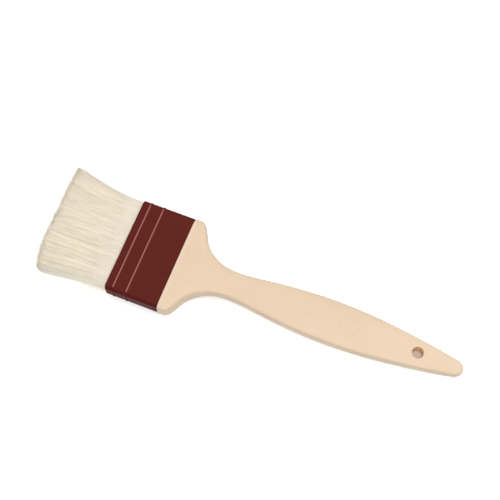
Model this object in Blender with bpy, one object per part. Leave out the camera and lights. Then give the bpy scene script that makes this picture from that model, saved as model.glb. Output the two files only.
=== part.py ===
"""Flat pastry brush, 60 mm wide, as an assembly of separate solids.

The brush lies flat: +X runs from the bristle tips to the end of the handle, Y runs across the width
and +Z is up through the thickness.  The origin is at the middle of the underside.  The moulded handle
ends in a tenon inside the ferrule, a sleeve with two raised ribs.  In front of the tenon a cast resin
plug holds the roots of two bristle banks, one above and one below a spacer strip.  The free bristles
stand out of the ferrule's mouth and swing about a line just in front of it, which stands for bending.
"""

import math

import bmesh
import bpy

MM = 0.001

# Driving dimensions: lengths along X.
BRISTLE_LENGTH = 48.0 * MM
FERRULE_LENGTH = 33.0 * MM
HANDLE_LENGTH = 178.0 * MM
TENON_LENGTH = 12.0 * MM

# Driving dimensions: the ferrule, a rounded rectangular sleeve.
FERRULE_WIDTH = 60.0 * MM
FERRULE_THICKNESS = 13.2 * MM
FERRULE_CORNER = 3.0 * MM
FERRULE_WALL = 1.2 * MM
FERRULE_RIM = 0.4 * MM
RIB_DISTANCES = (4.6 * MM, 13.0 * MM)
RIB_WIDTH = 1.6 * MM
RIB_HEIGHT = 0.4 * MM
SNAP_HEIGHT = 0.35 * MM
SNAP_WIDTH = 2.0 * MM
SNAP_DISTANCE = 5.0 * MM
SNAP_WAIST_CUT = 0.5 * MM

# Half widths and half thicknesses of the handle, each at a distance behind the ferrule.
HANDLE_HALF_WIDTHS = (
    (0.0 * MM, 30.4 * MM),
    (3.0 * MM, 30.4 * MM),
    (6.0 * MM, 29.9 * MM),
    (9.0 * MM, 26.3 * MM),
    (12.0 * MM, 20.5 * MM),
    (16.0 * MM, 15.4 * MM),
    (22.0 * MM, 11.4 * MM),
    (28.0 * MM, 9.2 * MM),
    (36.0 * MM, 8.4 * MM),
    (46.0 * MM, 9.0 * MM),
    (62.0 * MM, 11.0 * MM),
    (82.0 * MM, 12.7 * MM),
    (102.0 * MM, 13.1 * MM),
    (122.0 * MM, 12.1 * MM),
    (140.0 * MM, 10.1 * MM),
    (158.0 * MM, 7.5 * MM),
    (178.0 * MM, 3.8 * MM),
)
HANDLE_HALF_THICKNESSES = (
    (0.0 * MM, 6.85 * MM),
    (6.0 * MM, 6.85 * MM),
    (12.0 * MM, 6.5 * MM),
    (20.0 * MM, 5.6 * MM),
    (30.0 * MM, 5.0 * MM),
    (46.0 * MM, 4.8 * MM),
    (75.0 * MM, 4.9 * MM),
    (105.0 * MM, 4.95 * MM),
    (130.0 * MM, 4.8 * MM),
    (156.0 * MM, 4.3 * MM),
    (178.0 * MM, 3.7 * MM),
)
GRIP_ROUNDNESS = 6.0
SHOULDER_ROUNDNESS = 7.0
SHOULDER_FADE = 11.0 * MM
HANDLE_NOSE = 4.0 * MM
SHOULDER_EDGE = 0.5 * MM
TENON_BURIED = 4.0 * MM
HOLE_DIAMETER = 6.8 * MM
HOLE_DISTANCE = 150.3 * MM

# Driving dimensions: what the ferrule holds.
SPACER_THICKNESS = 1.6 * MM
SPACER_WIDTH = 53.0 * MM
SPACER_START = 2.0 * MM
RESIN_START = 6.0 * MM
RESIN_END = 20.4 * MM
RESIN_SKIN = 0.5 * MM
ROOT_END = 15.0 * MM
POCKET_CORNER = 0.2 * MM
SPACER_EDGE = 0.6 * MM

# Driving dimensions: the free bristles.
BRISTLE_ROOT_WIDTH = 56.4 * MM
BRISTLE_TIP_WIDTH = 67.6 * MM
BRISTLE_BELLY_HALF = 6.0 * MM
BRISTLE_BELLY = ((0.35, 0.75), (0.65, 1.0))
BRISTLE_FAN_POWER = 1.7
BRISTLE_TIP_CORNER = 3.5 * MM
BRISTLE_TIP_BULGE = 1.6 * MM
HINGE_CLEARANCE = 0.5 * MM

# Fit and fineness of the solids.
GAP = 0.3 * MM
CUTTER_MARGIN = 2.0 * MM
CORNER_STEPS = 6
RING_POINTS = 36
SHOULDER_STEP = 1.5 * MM
SHOULDER_REACH = 26.0 * MM
GRIP_STEP = 5.0 * MM
NOSE_STEPS = 6
HOLE_SIDES = 32
RIB_STEPS = 6
FAN_STEPS = 8
BOW_STEPS = 8

# Derived places.
MIDDLE_Z = FERRULE_THICKNESS / 2 + RIB_HEIGHT
TOTAL_LENGTH = BRISTLE_LENGTH + FERRULE_LENGTH + HANDLE_LENGTH
MOUTH_X = BRISTLE_LENGTH - TOTAL_LENGTH / 2
SHOULDER_X = MOUTH_X + FERRULE_LENGTH
TIP_X = MOUTH_X - BRISTLE_LENGTH
BORE_WIDTH = FERRULE_WIDTH - 2 * FERRULE_WALL
BORE_THICKNESS = FERRULE_THICKNESS - 2 * FERRULE_WALL
BORE_CORNER = FERRULE_CORNER - FERRULE_WALL
FILL_WIDTH = BORE_WIDTH - 2 * GAP
FILL_THICKNESS = BORE_THICKNESS - 2 * GAP
FILL_CORNER = BORE_CORNER - GAP
ROOT_RADIUS = FILL_THICKNESS / 2
HINGE_X = MOUTH_X - ROOT_RADIUS - HINGE_CLEARANCE


# Outlines -------------------------------------------------------------------------------------------


def arc(centre, radius, start, end, steps):
    """Points on an arc in a plane, from the start angle to the end angle in degrees."""
    points = []
    for i in range(steps + 1):
        angle = math.radians(start + (end - start) * i / steps)
        points.append((centre[0] + radius * math.cos(angle), centre[1] + radius * math.sin(angle)))
    return points


def rounded_rectangle(size_a, size_b, corner):
    """Counter-clockwise outline of a rectangle with round corners, centred on the origin."""
    a = size_a / 2 - corner
    b = size_b / 2 - corner
    points = arc((a, b), corner, 0, 90, CORNER_STEPS)
    points += arc((-a, b), corner, 90, 180, CORNER_STEPS)
    points += arc((-a, -b), corner, 180, 270, CORNER_STEPS)
    points += arc((a, -b), corner, 270, 360, CORNER_STEPS)
    return points


def smooth_value(stations, position):
    """Value at a position on the smooth curve through (position, value) stations."""

    def slope(i):
        low = max(i - 1, 0)
        high = min(i + 1, len(stations) - 1)
        return (stations[high][1] - stations[low][1]) / (stations[high][0] - stations[low][0])

    i = 0
    while i < len(stations) - 2 and position > stations[i + 1][0]:
        i += 1
    (x0, y0), (x1, y1) = stations[i], stations[i + 1]
    span = x1 - x0
    t = min(max((position - x0) / span, 0.0), 1.0)
    rise = t * t * (3 - 2 * t)
    leave = t * (1 - t) ** 2 * span * slope(i)
    arrive = t * t * (t - 1) * span * slope(i + 1)
    return y0 + (y1 - y0) * rise + leave + arrive


def superellipse(half_a, half_b, roundness):
    """Counter-clockwise closed outline: an ellipse at 2, nearer a rectangle as roundness grows."""
    points = []
    for i in range(RING_POINTS):
        angle = 2 * math.pi * i / RING_POINTS
        c = math.cos(angle)
        s = math.sin(angle)
        a = math.copysign(abs(c) ** (2 / roundness), c) * half_a
        b = math.copysign(abs(s) ** (2 / roundness), s) * half_b
        points.append((a, b))
    return points


# Objects --------------------------------------------------------------------------------------------


def clear_scene():
    for obj in list(bpy.data.objects):
        bpy.data.objects.remove(obj, do_unlink=True)


def new_collection(name):
    collection = bpy.data.collections.new(name)
    bpy.context.scene.collection.children.link(collection)
    return collection


def plastic(name, color, roughness):
    """Principled material with one colour and one roughness."""
    material = bpy.data.materials.new(name)
    material.use_nodes = True
    shader = material.node_tree.nodes["Principled BSDF"]
    shader.inputs["Base Color"].default_value = (*color, 1.0)
    shader.inputs["Roughness"].default_value = roughness
    shader.inputs["Metallic"].default_value = 0.0
    return material


def mesh_from_curve(obj, collection):
    """Swap a curve object for a welded mesh object of the same name and place."""
    depsgraph = bpy.context.evaluated_depsgraph_get()
    mesh = bpy.data.meshes.new_from_object(obj.evaluated_get(depsgraph))
    welded = bmesh.new()
    welded.from_mesh(mesh)
    bmesh.ops.remove_doubles(welded, verts=welded.verts, dist=0.001 * MM)
    bmesh.ops.recalc_face_normals(welded, faces=welded.faces)
    welded.to_mesh(mesh)
    welded.free()
    name = obj.name
    curve = obj.data
    place = obj.matrix_world.copy()
    bpy.data.objects.remove(obj, do_unlink=True)
    bpy.data.curves.remove(curve)
    result = bpy.data.objects.new(name, mesh)
    result.matrix_world = place
    collection.objects.link(result)
    return result


def outline_curve(name, points):
    """Closed flat curve through the points."""
    curve = bpy.data.curves.new(name, "CURVE")
    curve.dimensions = "2D"
    spline = curve.splines.new("POLY")
    spline.points.add(len(points) - 1)
    for point, (a, b) in zip(spline.points, points):
        point.co = (a, b, 0.0, 1.0)
    spline.use_cyclic_u = True
    return curve


def prism(name, points, depth, location, rotation, collection):
    """Solid of a flat outline, given its depth half to each side of its plane."""
    curve = outline_curve(name, points)
    curve.fill_mode = "BOTH"
    curve.extrude = depth / 2
    obj = bpy.data.objects.new(name, curve)
    obj.location = location
    obj.rotation_euler = rotation
    collection.objects.link(obj)
    bpy.context.view_layer.update()
    return mesh_from_curve(obj, collection)


ALONG_X = (math.pi / 2, 0.0, math.pi / 2)
ALONG_Y = (math.pi / 2, 0.0, 0.0)
ALONG_Z = (0.0, 0.0, 0.0)


def bar(name, start, end, width, thickness, corner, collection):
    """Rounded rectangular bar along X, centred on the middle plane."""
    points = rounded_rectangle(width, thickness, corner)
    place = ((start + end) / 2, 0.0, MIDDLE_Z)
    return prism(name, points, end - start, place, ALONG_X, collection)


def combine(obj, other, operation):
    """Boolean of two solids; the other one is kept as a hidden cutter."""
    other.hide_render = True
    other.display_type = "WIRE"
    modifier = obj.modifiers.new(other.name, "BOOLEAN")
    modifier.operation = operation
    modifier.object = other
    modifier.solver = "EXACT"


def finish_part(obj, material):
    """Give a part its material and smooth shading that stays sharp at real edges."""
    obj.data.materials.clear()
    obj.data.materials.append(material)
    obj.data.shade_smooth()
    obj.data.set_sharp_from_angle(angle=math.radians(35))


# Parts ----------------------------------------------------------------------------------------------


def handle_positions():
    """Distances behind the ferrule at which the handle has a section."""
    positions = []
    position = GAP + SHOULDER_EDGE
    while position < HANDLE_LENGTH - HANDLE_NOSE:
        positions.append(position)
        position += SHOULDER_STEP if position < SHOULDER_REACH else GRIP_STEP
    for i in range(NOSE_STEPS):
        turn = math.radians(90.0 * i / NOSE_STEPS)
        positions.append(HANDLE_LENGTH - HANDLE_NOSE + HANDLE_NOSE * math.sin(turn))
    return positions


def handle_section(position, inset=0.0):
    """Outline of the handle at a distance behind the ferrule, drawn in by an inset."""
    half_width = smooth_value(HANDLE_HALF_WIDTHS, position)
    half_thickness = smooth_value(HANDLE_HALF_THICKNESSES, position)
    fade = math.exp(-((position / SHOULDER_FADE) ** 2))
    roundness = GRIP_ROUNDNESS + (SHOULDER_ROUNDNESS - GRIP_ROUNDNESS) * fade
    into_nose = max(position - (HANDLE_LENGTH - HANDLE_NOSE), 0.0) / HANDLE_NOSE
    nose = math.sqrt(max(1.0 - into_nose * into_nose, 0.0))
    return superellipse(half_width * nose - inset, half_thickness * nose - inset, roundness)


def loft_ring(mesh, points, x):
    return [mesh.verts.new((x, y, MIDDLE_Z + z)) for y, z in points]


def loft_skin(mesh, ring_a, ring_b):
    count = len(ring_a)
    for i in range(count):
        j = (i + 1) % count
        mesh.faces.new((ring_a[i], ring_a[j], ring_b[j], ring_b[i]))


def make_handle_body(collection):
    """Handle skin lofted from the wide flat shoulder, through neck and grip, to the round end."""
    mesh = bmesh.new()
    rings = [loft_ring(mesh, handle_section(GAP, inset=SHOULDER_EDGE), SHOULDER_X + GAP)]
    for position in handle_positions():
        rings.append(loft_ring(mesh, handle_section(position), SHOULDER_X + position))
    for ring_a, ring_b in zip(rings, rings[1:]):
        loft_skin(mesh, ring_a, ring_b)
    mesh.faces.new(list(reversed(rings[0])))
    end = mesh.verts.new((SHOULDER_X + HANDLE_LENGTH, 0.0, MIDDLE_Z))
    last = rings[-1]
    for i in range(len(last)):
        mesh.faces.new((last[i], last[(i + 1) % len(last)], end))
    bmesh.ops.recalc_face_normals(mesh, faces=mesh.faces)
    data = bpy.data.meshes.new("handle")
    mesh.to_mesh(data)
    mesh.free()
    obj = bpy.data.objects.new("handle", data)
    collection.objects.link(obj)
    return obj


def make_handle(parts, cutters):
    """Handle with its snap-grooved tenon and the hole it hangs by."""
    handle = make_handle_body(parts)
    tenon = bar("tenon", SHOULDER_X - TENON_LENGTH, SHOULDER_X + TENON_BURIED, FILL_WIDTH,
                FILL_THICKNESS, FILL_CORNER, cutters)
    groove_start = SHOULDER_X - SNAP_DISTANCE - SNAP_WIDTH / 2 - GAP
    groove_end = groove_start + SNAP_WIDTH + 2 * GAP
    groove = bar("snap_groove", groove_start, groove_end, FILL_WIDTH + CUTTER_MARGIN,
                 FILL_THICKNESS + CUTTER_MARGIN, FILL_CORNER, cutters)
    waist = bar("snap_waist", groove_start - CUTTER_MARGIN, groove_end + CUTTER_MARGIN,
                FILL_WIDTH - 2 * SNAP_WAIST_CUT, FILL_THICKNESS - 2 * SNAP_WAIST_CUT, FILL_CORNER,
                cutters)
    combine(tenon, groove, "DIFFERENCE")
    combine(tenon, waist, "UNION")
    combine(handle, tenon, "UNION")
    combine(handle, make_drill(cutters), "DIFFERENCE")
    return handle


def make_drill(cutters):
    """Cylinder that cuts the hanging hole."""
    bpy.ops.mesh.primitive_cylinder_add(
        vertices=HOLE_SIDES,
        radius=HOLE_DIAMETER / 2,
        depth=4 * MIDDLE_Z,
        location=(SHOULDER_X + HOLE_DISTANCE, 0.0, MIDDLE_Z),
    )
    drill = bpy.context.object
    drill.name = "hanging_hole"
    for collection in list(drill.users_collection):
        collection.objects.unlink(drill)
    cutters.objects.link(drill)
    return drill


def rib_profile(distance):
    """Round-topped bump across a rib, as (distance from the mouth, height over the outer face)."""
    points = []
    for i in range(RIB_STEPS + 1):
        share = i / RIB_STEPS
        along = distance + RIB_WIDTH * (share - 0.5)
        points.append((along, RIB_HEIGHT * math.sin(math.pi * share)))
    return points


def ferrule_profile():
    """Section of the ferrule's wall, as (distance from the mouth, height over the outer face)."""
    points = arc((FERRULE_RIM, -FERRULE_RIM), FERRULE_RIM, 180, 90, 3)
    for distance in RIB_DISTANCES:
        points += rib_profile(distance)
    inner = -FERRULE_WALL
    bead_top = inner - SNAP_HEIGHT
    bead = FERRULE_LENGTH - SNAP_DISTANCE
    points += [
        (FERRULE_LENGTH, 0.0),
        (FERRULE_LENGTH, inner),
        (bead + SNAP_WIDTH / 2, inner),
        (bead + SNAP_WIDTH / 4, bead_top),
        (bead - SNAP_WIDTH / 4, bead_top),
        (bead - SNAP_WIDTH / 2, inner),
        (0.0, inner),
    ]
    return points


def make_ferrule(parts, cutters):
    """Ferrule wall swept round a rounded rectangle: one profile carries the ribs and the snap bead."""
    points = [(-height, distance) for distance, height in ferrule_profile()]
    profile = bpy.data.objects.new("ferrule_profile", outline_curve("ferrule_profile", points))
    cutters.objects.link(profile)
    profile.hide_render = True
    profile.display_type = "WIRE"
    outline = rounded_rectangle(FERRULE_WIDTH, FERRULE_THICKNESS, FERRULE_CORNER)
    path = outline_curve("ferrule", outline)
    path.bevel_mode = "OBJECT"
    path.bevel_object = profile
    path.fill_mode = "NONE"
    obj = bpy.data.objects.new("ferrule", path)
    obj.location = (MOUTH_X, 0.0, MIDDLE_Z)
    obj.rotation_euler = ALONG_X
    parts.objects.link(obj)
    bpy.context.view_layer.update()
    return mesh_from_curve(obj, parts)


def make_resin_plug(parts, cutters):
    """Cast plug behind the bristles, with the pocket that their roots and the spacer stand in."""
    plug = bar("resin_plug", MOUTH_X + RESIN_START, MOUTH_X + RESIN_END, FILL_WIDTH, FILL_THICKNESS,
               FILL_CORNER, parts)
    pocket = bar("root_pocket", MOUTH_X, MOUTH_X + ROOT_END + GAP, FERRULE_WIDTH,
                 FILL_THICKNESS - 2 * RESIN_SKIN, POCKET_CORNER, cutters)
    combine(plug, pocket, "DIFFERENCE")
    return plug


def make_spacer(parts):
    """Strip that parts the two banks of bristles."""
    return bar("spacer_strip", MOUTH_X + SPACER_START, MOUTH_X + ROOT_END, SPACER_WIDTH,
               SPACER_THICKNESS, SPACER_EDGE, parts)


def make_roots(name, side, parts, cutters):
    """Held stretch of one bristle bank: full in the mouth, pinched where the resin grips it."""
    inner = SPACER_THICKNESS / 2 + GAP
    full = FILL_THICKNESS / 2
    pinched = full - RESIN_SKIN - GAP
    step_x = MOUTH_X + RESIN_START - GAP
    end_x = MOUTH_X + ROOT_END
    outline = [
        (MOUTH_X, inner),
        (end_x, inner),
        (end_x, pinched),
        (step_x, pinched),
        (step_x, full + CUTTER_MARGIN),
        (MOUTH_X, full + CUTTER_MARGIN),
    ]
    outline = [(x, MIDDLE_Z + side * z) for x, z in outline]
    roots = prism(name, outline, BRISTLE_ROOT_WIDTH, (0.0, 0.0, 0.0), ALONG_Y, parts)
    limit = bar(name + "_limit", MOUTH_X - CUTTER_MARGIN, end_x + CUTTER_MARGIN, FILL_WIDTH,
                FILL_THICKNESS, FILL_CORNER, cutters)
    combine(roots, limit, "INTERSECT")
    return roots


def bank_side_outline(side):
    """Side view of one free bank: a quarter round about the hinge line, a slight belly, blunt tips."""
    low = GAP / 2
    start = math.degrees(math.asin(low / ROOT_RADIUS))
    outline = arc((HINGE_X, 0.0), ROOT_RADIUS, start, 90, 8)
    reach = HINGE_X - TIP_X
    swell = BRISTLE_BELLY_HALF - ROOT_RADIUS
    for share_of_reach, share_of_swell in BRISTLE_BELLY:
        outline.append((HINGE_X - reach * share_of_reach, ROOT_RADIUS + swell * share_of_swell))
    corner = (TIP_X + BRISTLE_TIP_CORNER, BRISTLE_BELLY_HALF - BRISTLE_TIP_CORNER)
    outline += arc(corner, BRISTLE_TIP_CORNER, 90, 180, 6)
    outline.append((TIP_X, low))
    return [(x, MIDDLE_Z + side * z) for x, z in outline]


def bank_plan_outline():
    """Plan of the free bristles: they fan out from the mouth to a slightly bowed row of tips."""
    root = BRISTLE_ROOT_WIDTH / 2
    tip = BRISTLE_TIP_WIDTH / 2
    corner = (TIP_X + BRISTLE_TIP_BULGE + BRISTLE_TIP_CORNER, tip - BRISTLE_TIP_CORNER)
    edge = []
    for i in range(FAN_STEPS + 1):
        share = i / FAN_STEPS
        x = MOUTH_X + (corner[0] - MOUTH_X) * share
        edge.append((x, root + (tip - root) * share ** BRISTLE_FAN_POWER))
    edge += arc(corner, BRISTLE_TIP_CORNER, 105, 160, 4)
    bow = []
    for i in range(1, BOW_STEPS):
        across = 1.0 - 2.0 * i / BOW_STEPS
        bow.append((TIP_X + BRISTLE_TIP_BULGE * across * across, corner[1] * across))
    mirrored = [(x, -y) for x, y in reversed(edge)]
    return edge + bow + mirrored


def make_bank(name, side, parts, cutters):
    """Free bank of bristles; its origin is on the line that the bristles bend about."""
    bank = prism(name, bank_side_outline(side), BRISTLE_TIP_WIDTH + CUTTER_MARGIN, (0.0, 0.0, 0.0),
                 ALONG_Y, parts)
    plan = prism(name + "_plan", bank_plan_outline(), 4 * MIDDLE_Z, (0.0, 0.0, MIDDLE_Z), ALONG_Z,
                 cutters)
    combine(bank, plan, "INTERSECT")
    return bank


def set_origin(obj, origin):
    """Move an unrotated object's origin to a point, with its mesh left where it is."""
    for vertex in obj.data.vertices:
        world = obj.matrix_world @ vertex.co
        vertex.co = (world.x - origin[0], world.y - origin[1], world.z - origin[2])
    obj.rotation_euler = (0.0, 0.0, 0.0)
    obj.location = origin


def build():
    clear_scene()
    parts = new_collection("pastry_brush")
    cutters = new_collection("cutters")

    ivory = plastic("ivory_plastic", (0.86, 0.68, 0.48), 0.45)
    maroon = plastic("maroon_plastic", (0.125, 0.021, 0.016), 0.35)
    resin = plastic("amber_resin", (0.55, 0.33, 0.12), 0.2)
    strip = plastic("spacer_plastic", (0.6, 0.6, 0.58), 0.5)
    hair = plastic("white_bristle", (0.82, 0.73, 0.58), 0.6)

    finish_part(make_handle(parts, cutters), ivory)
    finish_part(make_ferrule(parts, cutters), maroon)
    finish_part(make_resin_plug(parts, cutters), resin)
    finish_part(make_spacer(parts), strip)
    for word, side in (("upper", 1), ("lower", -1)):
        finish_part(make_roots(word + "_bristle_roots", side, parts, cutters), hair)
        bank = make_bank(word + "_bristle_bank", side, parts, cutters)
        set_origin(bank, (HINGE_X, 0.0, MIDDLE_Z))
        finish_part(bank, hair)


build()
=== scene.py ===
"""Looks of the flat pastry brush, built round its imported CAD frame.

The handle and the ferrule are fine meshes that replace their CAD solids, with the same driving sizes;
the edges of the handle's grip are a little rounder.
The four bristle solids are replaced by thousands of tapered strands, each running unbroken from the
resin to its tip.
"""

import math

import bpy
import numpy as np
from mathutils import Matrix, Vector


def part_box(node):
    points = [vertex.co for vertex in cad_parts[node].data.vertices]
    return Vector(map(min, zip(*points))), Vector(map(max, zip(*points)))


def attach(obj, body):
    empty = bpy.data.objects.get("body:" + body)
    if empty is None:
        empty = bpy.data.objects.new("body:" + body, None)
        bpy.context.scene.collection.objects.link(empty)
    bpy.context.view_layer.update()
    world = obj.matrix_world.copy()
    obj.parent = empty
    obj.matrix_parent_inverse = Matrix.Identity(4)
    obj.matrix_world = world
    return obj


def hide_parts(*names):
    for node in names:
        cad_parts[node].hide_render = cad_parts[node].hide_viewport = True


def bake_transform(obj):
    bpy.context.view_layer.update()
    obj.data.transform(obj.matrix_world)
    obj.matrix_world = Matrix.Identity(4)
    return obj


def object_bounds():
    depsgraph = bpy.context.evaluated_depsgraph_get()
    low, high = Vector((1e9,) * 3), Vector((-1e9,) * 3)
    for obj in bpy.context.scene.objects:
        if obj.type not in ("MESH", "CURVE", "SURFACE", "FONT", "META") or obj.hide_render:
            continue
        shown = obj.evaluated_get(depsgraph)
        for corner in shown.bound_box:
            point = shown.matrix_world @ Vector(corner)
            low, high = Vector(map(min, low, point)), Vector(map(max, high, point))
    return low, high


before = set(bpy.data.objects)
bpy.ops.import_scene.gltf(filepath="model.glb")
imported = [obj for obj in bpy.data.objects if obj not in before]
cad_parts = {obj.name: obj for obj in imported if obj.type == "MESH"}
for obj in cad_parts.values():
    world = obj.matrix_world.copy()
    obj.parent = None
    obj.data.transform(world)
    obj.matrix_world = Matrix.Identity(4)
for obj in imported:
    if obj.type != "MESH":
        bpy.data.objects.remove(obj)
cad_low, cad_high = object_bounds()

MM = 0.001

# Places read from the CAD frame.
ferrule_low, ferrule_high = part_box("ferrule")
handle_low, handle_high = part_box("handle")
_, roots_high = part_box("upper_bristle_roots")
MOUTH_X = ferrule_low.x
SHOULDER_X = ferrule_high.x
TENON_X = handle_low.x
HANDLE_LENGTH = handle_high.x - SHOULDER_X
BRISTLE_LENGTH = MOUTH_X - cad_low.x
MIDDLE_Z = (ferrule_low.z + ferrule_high.z) / 2
ROOT_X = roots_high.x

# Ferrule: a sleeve whose outer face carries two ribs.
RIB_HEIGHT = 0.4 * MM
RIB_WIDTH = 1.6 * MM
RIB_CREST = 0.36
RIB_LEAD = 0.28
RIB_DISTANCES = (4.6 * MM, 13.0 * MM)
FERRULE_HALF_WIDTH = ferrule_high.y - RIB_HEIGHT
FERRULE_HALF_THICKNESS = ferrule_high.z - MIDDLE_Z - RIB_HEIGHT
FERRULE_CORNER = 3.0 * MM
FERRULE_WALL = 1.2 * MM
FERRULE_RIM = 0.45 * MM
FERRULE_EDGE = 0.2 * MM
SNAP_HEIGHT = 0.35 * MM
SNAP_WIDTH = 2.0 * MM
SNAP_DISTANCE = 5.0 * MM
GROOVE_DEPTH = 0.5 * MM
GROOVE_SLOPE = 0.15 * MM
TENON_CHAMFER = 0.4 * MM
GAP = 0.3 * MM
BORE_HALF_WIDTH = FERRULE_HALF_WIDTH - FERRULE_WALL
BORE_HALF_THICKNESS = FERRULE_HALF_THICKNESS - FERRULE_WALL
FILL_HALF_WIDTH = BORE_HALF_WIDTH - GAP
FILL_HALF_THICKNESS = BORE_HALF_THICKNESS - GAP
FILL_CORNER = FERRULE_CORNER - FERRULE_WALL - GAP

# How far sideways a skin's normal leans where a painted tone starts and where it is full: painted shade
# on the flanks; the ferrule's broad faces carry the painted highlight on its ribs.
FERRULE_BROAD = (0.9, 0.98)
FERRULE_FLANK_SHADE = (0.3, 0.8)
HANDLE_FLANK_SHADE = (0.45, 1.0)
HANDLE_FLANK_SHADE_POWER = 1.5

# Handle: half widths and half thicknesses at distances behind the ferrule.
HANDLE_HALF_WIDTHS = (
    (0.0 * MM, 30.4 * MM),
    (3.0 * MM, 30.4 * MM),
    (6.0 * MM, 29.9 * MM),
    (9.0 * MM, 26.3 * MM),
    (12.0 * MM, 20.5 * MM),
    (16.0 * MM, 15.4 * MM),
    (22.0 * MM, 11.4 * MM),
    (28.0 * MM, 9.2 * MM),
    (36.0 * MM, 8.4 * MM),
    (46.0 * MM, 9.0 * MM),
    (62.0 * MM, 11.0 * MM),
    (82.0 * MM, 12.7 * MM),
    (102.0 * MM, 13.1 * MM),
    (122.0 * MM, 12.1 * MM),
    (140.0 * MM, 10.1 * MM),
    (158.0 * MM, 7.5 * MM),
    (178.0 * MM, 3.8 * MM),
)
HANDLE_HALF_THICKNESSES = (
    (0.0 * MM, 6.85 * MM),
    (6.0 * MM, 6.85 * MM),
    (12.0 * MM, 6.5 * MM),
    (20.0 * MM, 5.6 * MM),
    (30.0 * MM, 5.0 * MM),
    (46.0 * MM, 4.8 * MM),
    (75.0 * MM, 4.9 * MM),
    (105.0 * MM, 4.95 * MM),
    (130.0 * MM, 4.8 * MM),
    (156.0 * MM, 4.3 * MM),
    (178.0 * MM, 3.7 * MM),
)
GRIP_ROUNDNESS = 4.2
SHOULDER_ROUNDNESS = 7.0
SHOULDER_FADE = 11.0 * MM
HANDLE_NOSE = 4.0 * MM
SHOULDER_EDGE = 0.5 * MM
HOLE_RADIUS = 3.4 * MM
HOLE_LIP = 0.35 * MM
HOLE_DISTANCE = 150.3 * MM
HOLE_SURROUND = 7.4 * MM
SEAM_HEIGHT = 0.035 * MM
RELIEF_DISTANCE = 109.3 * MM
RELIEF_RADII = (6.2 * MM, 4.9 * MM)
RELIEF_WIDTH = 0.9 * MM
RELIEF_HEIGHT = 0.28 * MM

# Bristles: two banks of strands, each bank in a few pieces.
STRANDS_PER_PIECE = 3700
PIECES_PER_BANK = 4
SPREAD_ACROSS = 0.7548776662
SPREAD_DEEP = 0.5698402910
OUTWARD_CROWDING = 0.6
STRAND_SIDES = 3
FREE_SHARES = (0.0, 0.11, 0.25, 0.41, 0.58, 0.75, 0.89, 0.965, 1.0)
ROOT_RADIUS = 0.125 * MM
TIP_RADIUS = 0.095 * MM
TAPER_POWER = 1.3
GIRTHS = (0.8, 1.15)
ROOT_HALF_WIDTH = 28.0 * MM
MOUTH_HALF_WIDTH = 28.55 * MM
ROOT_INNER = 1.25 * MM
ROOT_OUTER = 4.95 * MM
MOUTH_INNER = 0.5 * MM
MOUTH_OUTER = 5.2 * MM
BELLY_OUTER = 5.9 * MM
BELLY_SHARE = 0.6
TIP_DROP = 0.35 * MM
FLARE_LEFT = 7.8 * MM
FLARE_RIGHT = 3.9 * MM
FLARE_POWER = 1.7
FLARE_CROWDING = 1.5
TIP_LINE = (
    (-35.0 * MM, 45.4 * MM),
    (-31.0 * MM, 44.7 * MM),
    (-28.0 * MM, 45.6 * MM),
    (-21.0 * MM, 47.0 * MM),
    (-11.0 * MM, 47.8 * MM),
    (3.0 * MM, 47.7 * MM),
    (20.0 * MM, 48.4 * MM),
    (29.0 * MM, 48.5 * MM),
    (36.0 * MM, 48.1 * MM),
)
TIP_SLANT = 0.15
EDGE_THINNING = 0.38
EDGE_SHARPNESS = 6
THINNING_REACH = 0.5
WELL_CLOSING = 0.4 * MM
# Where across the bank the painted shade on its sides starts and where it is full.
SIDE_SHADE_BAND = (0.89, 1.0)

# Strands' lengths against the tip line: feathered, a few of them longer or shorter.
FEATHER_MEAN = 2.6 * MM
FEATHER_SPREAD = 1.3 * MM
SHORTEST_SHARE = 0.8
LONGEST_EXCESS = 1.5 * MM
LONG_SHARE = 0.10
LONG_EXCESS_MM = 1.5
SHORT_SHARE = 0.05
SHORT_RANGE_MM = (1.0, 5.0)

# Locks of strands, and the lean and the slow wave of each strand.
CLUMPS_ACROSS = 44
CLUMPS_DEEP = 4
CLUMP_JITTER_ACROSS = 0.9
CLUMP_JITTER_DEEP = 0.4
CLUMP_SLENDERNESS = 6.0
LOCK_PULL = 0.05
LOCK_PULL_DEEP = 0.7
LOCK_LENGTH = 0.12 * MM
LOCK_LEAN_Y = 0.07 * MM
LOCK_LEAN_Z = 0.05 * MM
LOCK_TONES = (0.36, 0.64)
PULL_POWER = 1.4
LEAN_Y = 0.23 * MM
LEAN_Z = 0.08 * MM
LEAN_POWER = 1.6
STRAY_SHARE = 0.006
STRAY_LEAN = 1.5 * MM
WAVE_Y = 0.10 * MM
WAVE_Z = 0.05 * MM
WAVE_TURNS = (0.6, 1.5)
WAVE_START = 0.3
STRAND_TONE = 0.16

# Fineness of the meshes.
RING_POINTS = 192
DENSE_POINTS = 1440
TURNING_SHARE = 0.45
HOLE_LOOPS = 10
HOLE_BLOCK = 18
HOLE_STEP = 0.45 * MM
SHOULDER_STEP = 0.5 * MM
WAIST_STEP = 1.2 * MM
RELIEF_STEP = 0.3 * MM
GRIP_STEP = 1.0 * MM
END_STEP = 0.8 * MM
WAIST_START = 26.0 * MM
RELIEF_MARGIN = 1.5 * MM
NOSE_STEPS = 14
SHOULDER_EDGE_STEPS = 5
LIP_STEPS = 6
WALL_STEPS = 8
RIM_STEPS = 6
RIB_STEPS = 20
RIB_SOFTENING = 2
BEAD_STEPS = 8

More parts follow.
